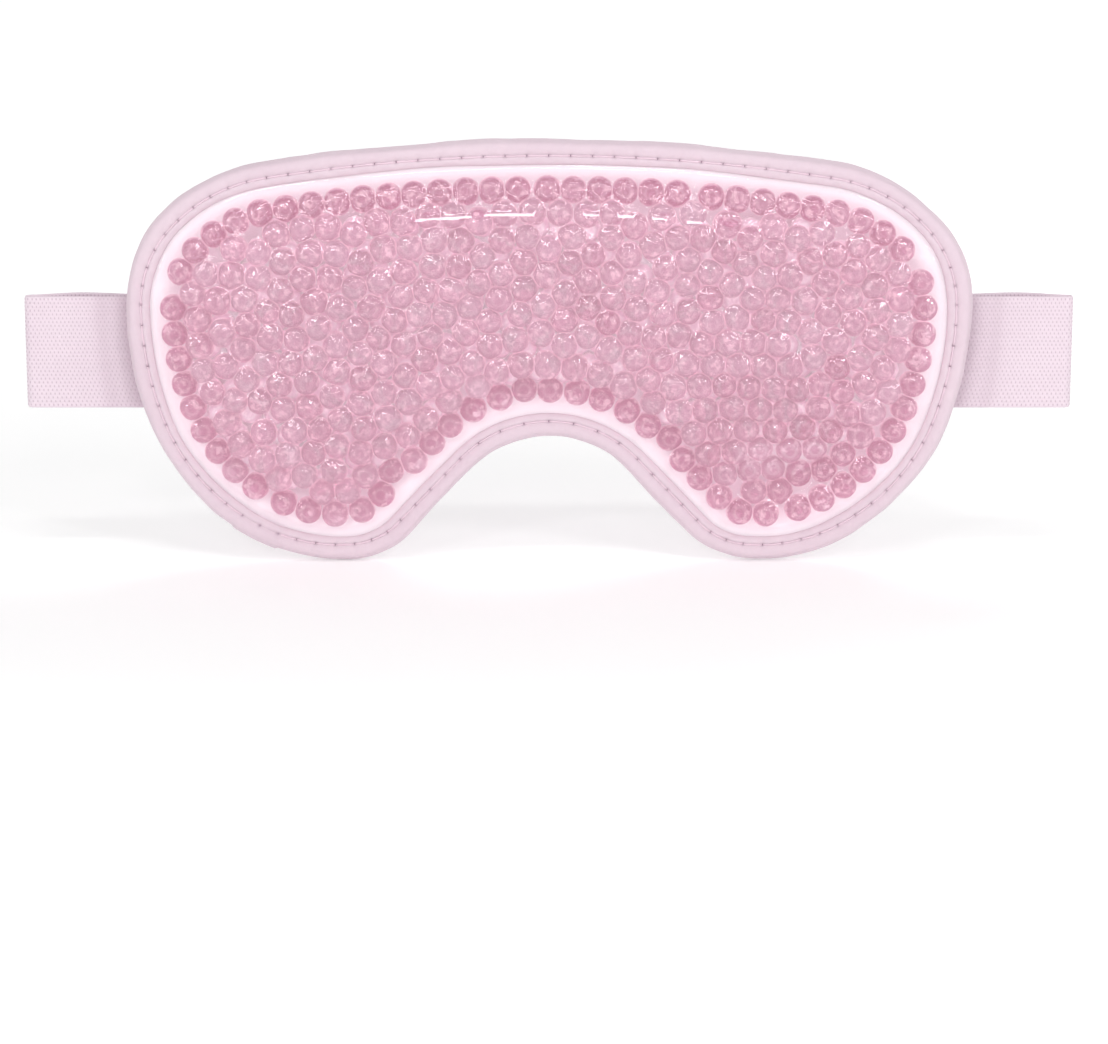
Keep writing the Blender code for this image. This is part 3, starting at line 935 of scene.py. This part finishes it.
def add_backing():
    """The plush sheet, blown out a little from its sewn rim."""
    flat, depth, faces = sheet_grid(2.2, 1.6, 1.3)
    rest = BACK_LOW[1] + PLUSH / 2 + BACK_RISE * dome(depth)
    start = BACK_LOW[1] + PLUSH / 2 + 0.86 * BACK_RISE * dome(depth)
    backing = new_object("backing_plush", raised(flat, start), [f[::-1] for f in faces])
    if backing.data.polygons[0].normal.y < 0:
        backing.data.flip_normals()
    group = backing.vertex_groups.new(name="sewn")
    group.add([int(i) for i in np.flatnonzero(depth < SEWN_DEPTH)], 1.0, "REPLACE")
    cloth = backing.modifiers.new("cloth", "CLOTH")
    cloth.settings.vertex_group_mass = "sewn"
    cloth.settings.use_pressure = True
    cloth.settings.uniform_pressure_force = 4.0
    cloth.settings.effector_weights.gravity = 0.0
    cloth.settings.quality = 6
    cloth.collision_settings.use_self_collision = False
    for number in range(1, 21):
        bpy.context.scene.frame_set(number)
    blown = backing.evaluated_get(bpy.context.evaluated_depsgraph_get())
    places = np.array([v.co for v in blown.data.vertices]) / MM
    backing.modifiers.remove(cloth)
    bpy.context.scene.frame_set(1)
    move = places[:, 1] - rest
    free = ramp(depth, SEWN_DEPTH, 12.0)
    y = rest + np.clip(move, -0.5, 0.55) * free
    bumps = np.sin(flat[:, 0] * 0.31 + 1.3 * np.sin(flat[:, 1] * 0.17)) * np.sin(flat[:, 1] * 0.27 + 0.6)
    y += 0.10 * bumps * free
    y += 0.16 * np.sin(np.arctan2(flat[:, 1], flat[:, 0]) * 61.0) * bell(depth, 7.5, 3.0)
    for vertex, height, place in zip(backing.data.vertices, y, flat):
        vertex.co = (place[0] * MM, height * MM, place[1] * MM)
    smooth = backing.modifiers.new("smooth", "SUBSURF")
    smooth.levels = smooth.render_levels = 1
    thick = backing.modifiers.new("thick", "SOLIDIFY")
    thick.thickness = PLUSH * MM
    thick.offset = 0.0
    apply_modifiers(backing)
    finish_piece(backing, plush_look(), "plush", "backing_fabric")
    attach(backing, BODY)


def apply_modifiers(obj):
    graph = bpy.context.evaluated_depsgraph_get()
    mesh = bpy.data.meshes.new_from_object(obj.evaluated_get(graph))
    old = obj.data
    obj.modifiers.clear()
    obj.data = mesh
    bpy.data.meshes.remove(old)
    obj.data.shade_smooth()


# ---- straps

STRAP_Z = (TAB_LOW[2] + TAB_HIGH[2]) / 2
STRAP_WIDTH = TAB_HIGH[2] - TAB_LOW[2]
STRAP = 0.9  # thickness
TAIL_LENGTH = 3.0  # the end sewn in under the binding's back lip
TAIL_Y = -3.25
TAIL_CORNER = 0.9
TAB_Y = TAB_HIGH[1] - STRAP / 2
FOLD_RADIUS = 1.8
FOLD_X = FOLD_HIGH[0] - FOLD_RADIUS - STRAP / 2
FOLD_Y = TAB_Y + FOLD_RADIUS
BAND_TIP_X = BAND_LOW[0]
BULGE = 4.3  # how far the loose loop behind the tab stands out
BULGE_LENGTH = 28.0
BULGE_SKEW = 0.75
BAND_REST_Y = 5.0  # middle of the thickness behind the mask
BAND_SETTLE = 40.0
MASK_EDGE_X = 104.8  # where the tab comes out from behind the mask
TAB_END = 40  # number of the last point of strap_line on the tab
RIB_PITCH = 0.95
EYE_PITCH = 1.02


def band_y(x):
    """The middle of the band's thickness, from the fold to the tip."""
    along = FOLD_X - x
    start = FOLD_Y + FOLD_RADIUS
    hump = BULGE * np.sin(np.pi * np.minimum(1.0, along / BULGE_LENGTH) ** BULGE_SKEW) ** 2
    return start + hump + (BAND_REST_Y - start) * ramp(along, 0.0, BAND_SETTLE)


def lip_x(z):
    """Where the back lip's inner edge lies on the right side, at height z."""
    loop = EDGE - EDGE_OUT * LIP_BACK
    side = loop[loop[:, 0] > 80.0]
    side = side[np.argsort(side[:, 1])]
    return np.interp(z, side[:, 1], side[:, 0])


def strap_line(z):
    """The middle of the strap's thickness at height z, from the sewn end to the free tip."""
    lip = lip_x(z)
    turn_x = lip - 0.75 + TAIL_CORNER
    points = [(lip + TAIL_LENGTH, TAIL_Y), (lip + 1.2, TAIL_Y)]
    quarter = [math.pi / 2 * step / 6 for step in range(7)]
    round_x = [TAIL_CORNER * math.sin(a) for a in quarter]
    round_y = [TAIL_CORNER * math.cos(a) for a in quarter]
    points += [(turn_x - x, TAIL_Y + TAIL_CORNER - y) for x, y in zip(round_x, round_y)]
    points += [(turn_x - x, TAB_Y - TAIL_CORNER + y) for x, y in zip(round_y, round_x)]
    points += [(x, TAB_Y) for x in np.linspace(lip + 1.4, FOLD_X, 24)]
    for step in range(1, 13):
        angle = math.pi * (step / 12 - 0.5)
        points.append((FOLD_X + FOLD_RADIUS * math.cos(angle), FOLD_Y + FOLD_RADIUS * math.sin(angle)))
    xs = np.concatenate([np.linspace(FOLD_X, FOLD_X - BULGE_LENGTH, 40)[1:],
                         np.linspace(FOLD_X - BULGE_LENGTH, BAND_TIP_X, 74)[1:]])
    points += [(x, float(band_y(x))) for x in xs]
    return np.array(points)


def add_strap(word, side):
    """One knitted band with thin selvedges, sewn in under the binding and folded behind the mask."""
    rows = 118
    across = np.linspace(-STRAP_WIDTH / 2, STRAP_WIDTH / 2, rows)
    middle = strap_line(STRAP_Z)
    run = run_along(middle)
    from_edge = STRAP_WIDTH / 2 - np.abs(across)
    edge = np.clip(from_edge / 1.1, 0.0, 1.0)
    thin = 0.30 + 0.70 * np.sqrt(1 - (1 - edge) ** 2)
    selvedge = bell(from_edge, 1.2, 0.5)
    ribs = 0.075 * np.cos(2 * np.pi * across / RIB_PITCH) * (edge >= 1.0) - 0.06 * selvedge
    outer, inner = [], []
    for z, tight, rib in zip(across, thin, ribs):
        line = strap_line(STRAP_Z + z)
        step = np.gradient(line, axis=0)
        step /= np.linalg.norm(step, axis=1)[:, None]
        reach = (STRAP / 2 - 0.04) * tight + rib * 0.5
        way = np.stack([step[:, 1], -step[:, 0]], 1) * reach
        for face, (x, y) in ((outer, (line + way).T), (inner, (line - way).T)):
            face.append(np.stack([side * x, y, np.full(len(x), STRAP_Z + z)], 1))
    ring = np.array(outer + inner[::-1])
    vertices = ring.reshape(-1, 3)
    columns = len(middle)
    faces = grid_faces(len(ring), columns, close_rows=True)
    for column in (0, columns - 1):
        faces += [
            (i * columns + column, (i + 1) * columns + column,
             (len(ring) - 2 - i) * columns + column, (len(ring) - 1 - i) * columns + column)
            for i in range(rows - 1)
        ]
    strap = new_object(f"strap_{word}_webbing", vertices, faces)
    face_out(strap)
    along = np.tile(run, len(ring))
    height = np.repeat(np.concatenate([across, across[::-1]]), columns)
    mask_edge = run[np.argmin(np.abs(middle[:TAB_END, 0] - MASK_EDGE_X))]
    # painted shadow where the tab comes out from behind the mask, and a painted crease shade about 6 mm
    # further out
    shade = np.exp(-np.clip(along - mask_edge, 0.0, None) / 4.0) * (along < mask_edge + 30.0)
    shade += 0.5 * bell(along, mask_edge + 6.0, 1.8)
    for key, value in (("along", along), ("across", height), ("shade", shade)):
        paint_values(strap, key, value)
    nodes = [f"strap_{word}_{part}" for part in ("tab", "fold", "band")]
    finish_piece(strap, elastic_look(), "elastic", *nodes)
    if side < 0:
        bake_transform(strap)
    else:
        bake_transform(strap)


# ---- fasteners

PATCH_CORNER = 2.0
PATCH_MARGIN = 2.5  # without hooks or loops
PATCH_STITCH = 1.7  # from the patch's edge in
# the patch from its rim inwards: distance in, and share of the thickness
PATCH_PROFILE = ((0.0, 0.0), (0.0, 0.35), (0.25, 0.62), (0.8, 0.8), (1.35, 0.8), (1.7, 0.5), (2.05, 0.8),
                 (3.0, 0.9), (5.0, 0.92), (8.0, 0.92), (11.0, 0.92))


def patch_loop(low, high, inset, steps=5):
    """A rounded rectangle in x and z, moved in by inset."""
    radius = max(PATCH_CORNER - inset, 0.15)
    cx, cz = (low[0] + high[0]) / 2, (low[2] + high[2]) / 2
    reach_x = (high[0] - low[0]) / 2 - inset - radius
    reach_z = (high[2] - low[2]) / 2 - inset - radius
    points = []
    for sx, sz, start in ((1, 1, 0.0), (-1, 1, 90.0), (-1, -1, 180.0), (1, -1, 270.0)):
        for step in range(steps + 1):
            angle = math.radians(start + 90.0 * step / steps)
            x = cx + sx * reach_x + radius * math.cos(angle)
            points.append((x, cz + sz * reach_z + radius * math.sin(angle)))
    return np.array(points)


def patch_base(low, high, face_y, back_y):
    """The patch's woven ground, thinner at its rim and pressed in along its stitching."""
    thick = face_y - back_y
    loops = [patch_loop(low, high, inset) for inset, _ in PATCH_PROFILE]
    vertices = np.vstack([
        raised(loop, back_y + share * thick)
        for loop, (_, share) in zip(loops, PATCH_PROFILE)
    ])
    return vertices, stack_faces(len(loops), len(loops[0]))


def patch_grid(low, high, pitch, rng, loose):
    """Places for hooks or loops, in staggered rows."""
    points = []
    xs = np.arange(low[0] + PATCH_MARGIN, high[0] - PATCH_MARGIN, pitch)
    zs = np.arange(low[2] + PATCH_MARGIN, high[2] - PATCH_MARGIN, pitch * 0.87)
    for i, z in enumerate(zs):
        stagger = pitch / 2 if i % 2 else 0.0
        for x in xs:
            points.append((x + stagger + rng.uniform(-loose, loose), z + rng.uniform(-loose, loose)))
    return points


def hook_parts(rng):
    """A stiff ground with rows of small hooks."""
    face, back = HOOK_LOW[1], HOOK_HIGH[1]
    parts = [patch_base(HOOK_LOW, HOOK_HIGH, back + 0.55 * (face - back), back)]
    ground = back + 0.5 * (face - back)
    for x, z in patch_grid(HOOK_LOW, HOOK_HIGH, 1.25, rng, 0.05):
        parts.append(tube([(x, ground, z), (x, face + 0.28, z), (x + 0.12, face + 0.12, z),
                           (x + 0.34, face + 0.1, z), (x + 0.45, face + 0.28, z)], 0.085, 4))
    return parts


def loop_parts(rng):
    """A soft ground with a tangle of fine loops."""
    back, face = LOOP_LOW[1], LOOP_HIGH[1]
    top = back + 0.6 * (face - back)
    foot = top - 0.12
    parts = [patch_base(LOOP_LOW, LOOP_HIGH, top, back)]
    for x, z in patch_grid(LOOP_LOW, LOOP_HIGH, 0.72, rng, 0.3):
        turn, tall, wide = rng.uniform(0, math.pi), rng.uniform(0.5, 1.0), rng.uniform(0.25, 0.5)
        wide_x, wide_z, reach = wide * math.cos(turn), wide * math.sin(turn), (face - foot) * tall
        path = [(x + wide_x * math.cos(a), foot + reach * math.sin(a), z + wide_z * math.cos(a))
                for a in np.linspace(0.0, math.pi, 6)]
        parts.append(tube(path, 0.05, 3))
    return parts


def patch_stitch_parts(low, high, y, way):
    """A row of stitches round a patch, seen on the strap's other face."""
    loop = even_points(patch_loop(low, high, PATCH_STITCH, 8), 0.3)
    per = 9
    height = y + way * (0.30 * np.sin(np.pi * np.linspace(0.05, 0.95, per)) ** 0.5 - 0.1)
    parts = []
    for start in range(0, len(loop) - per, per):
        parts.append(tube(raised(loop[start:start + per], height), 0.17))
    return parts


def add_fasteners():
    rng = np.random.default_rng(SEED + 40)
    hook_look = plain_look("hook_tape", linear(236, 216, 227), 0.5)
    loop_look = plain_look("loop_tape", linear(240, 220, 231), 0.9)
    thread = plain_look("patch_thread", linear(232, 208, 220), 0.6)
    hook_stitches = patch_stitch_parts(HOOK_LOW, HOOK_HIGH, BAND_REST_Y + STRAP / 2, 1.0)
    loop_stitches = patch_stitch_parts(LOOP_LOW, LOOP_HIGH, BAND_REST_Y - STRAP / 2, -1.0)
    add_strands("hook_patch_tape", hook_parts(rng), hook_look, "hook_tape", "hook_patch", "strap_left")
    add_strands("loop_patch_tape", loop_parts(rng), loop_look, "loop_tape", "loop_patch", "strap_right")
    add_strands("hook_patch_stitches", hook_stitches, thread, "thread", "hook_patch_stitching", "strap_left")
    add_strands("loop_patch_stitches", loop_stitches, thread, "thread", "loop_patch_stitching", "strap_right")


# ---- camera, light and floor

LIGHTS = (  # name, place and size in metres, power; all look at the mask
    ("left", (-0.30, -0.90, 0.42), (0.22, 0.08), 1.1),
    ("right", (0.42, -0.80, 0.50), (0.08, 0.20), 1.1),
    ("top", (0.0, -0.55, 0.85), (0.40, 0.08), 1.2),
    ("low_left", (-0.60, -0.75, 0.12), (0.09, 0.07), 0.3),
    ("middle", (0.06, -0.95, 0.28), (0.10, 0.07), 0.5),
    ("far_right", (0.65, -0.60, 0.22), (0.09, 0.07), 0.5),
    ("back", (0.3, 0.85, 0.6), (0.5, 0.3), 2.0),
)


def add_camera():
    """A long lens, a little above the mask, which sits in the upper part of the picture."""
    lens, sensor = 100.0, 36.0
    width_in_view = 280.2  # at the aim point
    away = lens / sensor * width_in_view
    pitch = math.radians(11.2)
    aim = Vector((1.3, 0.0, -44.8))
    data = bpy.data.cameras.new("camera")
    data.lens = lens
    data.sensor_width = sensor
    camera = bpy.data.objects.new("camera", data)
    bpy.context.scene.collection.objects.link(camera)
    back = Vector((0.0, -math.cos(pitch), math.sin(pitch)))
    camera.location = (aim + back * away) * MM
    camera.rotation_euler = (-back).to_track_quat("-Z", "Y").to_euler()
    bpy.context.scene.camera = camera


def add_light(name, place, size, power):
    data = bpy.data.lights.new(name, "AREA")
    data.shape = "RECTANGLE"
    data.size, data.size_y = size
    data.energy = power
    light = bpy.data.objects.new(name, data)
    bpy.context.scene.collection.objects.link(light)
    light.location = place
    light.rotation_euler = (Vector((0.0, 0.0, 0.0)) - Vector(place)).to_track_quat("-Z", "Y").to_euler()


def add_floor():
    """A white floor that glows more further out, so that it stays white to the horizon."""
    floor = new_object("floor", [(-1, -1, 0), (1, -1, 0), (1, 1, 0), (-1, 1, 0)], [(0, 1, 2, 3)])
    floor.scale = (12000, 12000, 1)
    floor.location.z = (BINDING_LOW[2] - 0.5) * MM
    look = Look("floor")
    place = look.node("ShaderNodeNewGeometry").outputs["Position"]
    away = look.node("ShaderNodeVectorMath", {0: place}, operation="LENGTH").outputs["Value"]
    look.link(look.spread(away, 0.2, 1.4, 0.2, 0.46), "Emission Strength")
    look.set(Base_Color=(0.9, 0.9, 0.9), Roughness=0.9, Emission_Color=(1.0, 1.0, 1.0))
    floor.data.materials.append(look.material)


def add_sky():
    """A white sky, dimmer overhead."""
    world = bpy.data.worlds.new("studio")
    bpy.context.scene.world = world
    world.use_nodes = True
    tree = world.node_tree
    sky = tree.nodes["Background"]
    sky.inputs["Color"].default_value = (1.0, 1.0, 1.0, 1.0)
    place = add_node(tree, "ShaderNodeTexCoord").outputs["Generated"]
    height = add_node(tree, "ShaderNodeSeparateXYZ", {0: place}).outputs["Z"]
    level = add_node(tree, "ShaderNodeMapRange",
                     {"Value": height, "From Min": 0.05, "To Min": 1.0, "To Max": 0.42})
    tree.links.new(level.outputs["Result"], sky.inputs["Strength"])


bpy.context.scene.view_settings.view_transform = "Standard"
add_camera()
for light in LIGHTS:
    add_light(*light)
add_floor()
add_sky()
add_films(*add_beads())
add_binding()
add_backing()
for word, side in (("left", -1), ("right", 1)):
    add_strap(word, side)
add_fasteners()
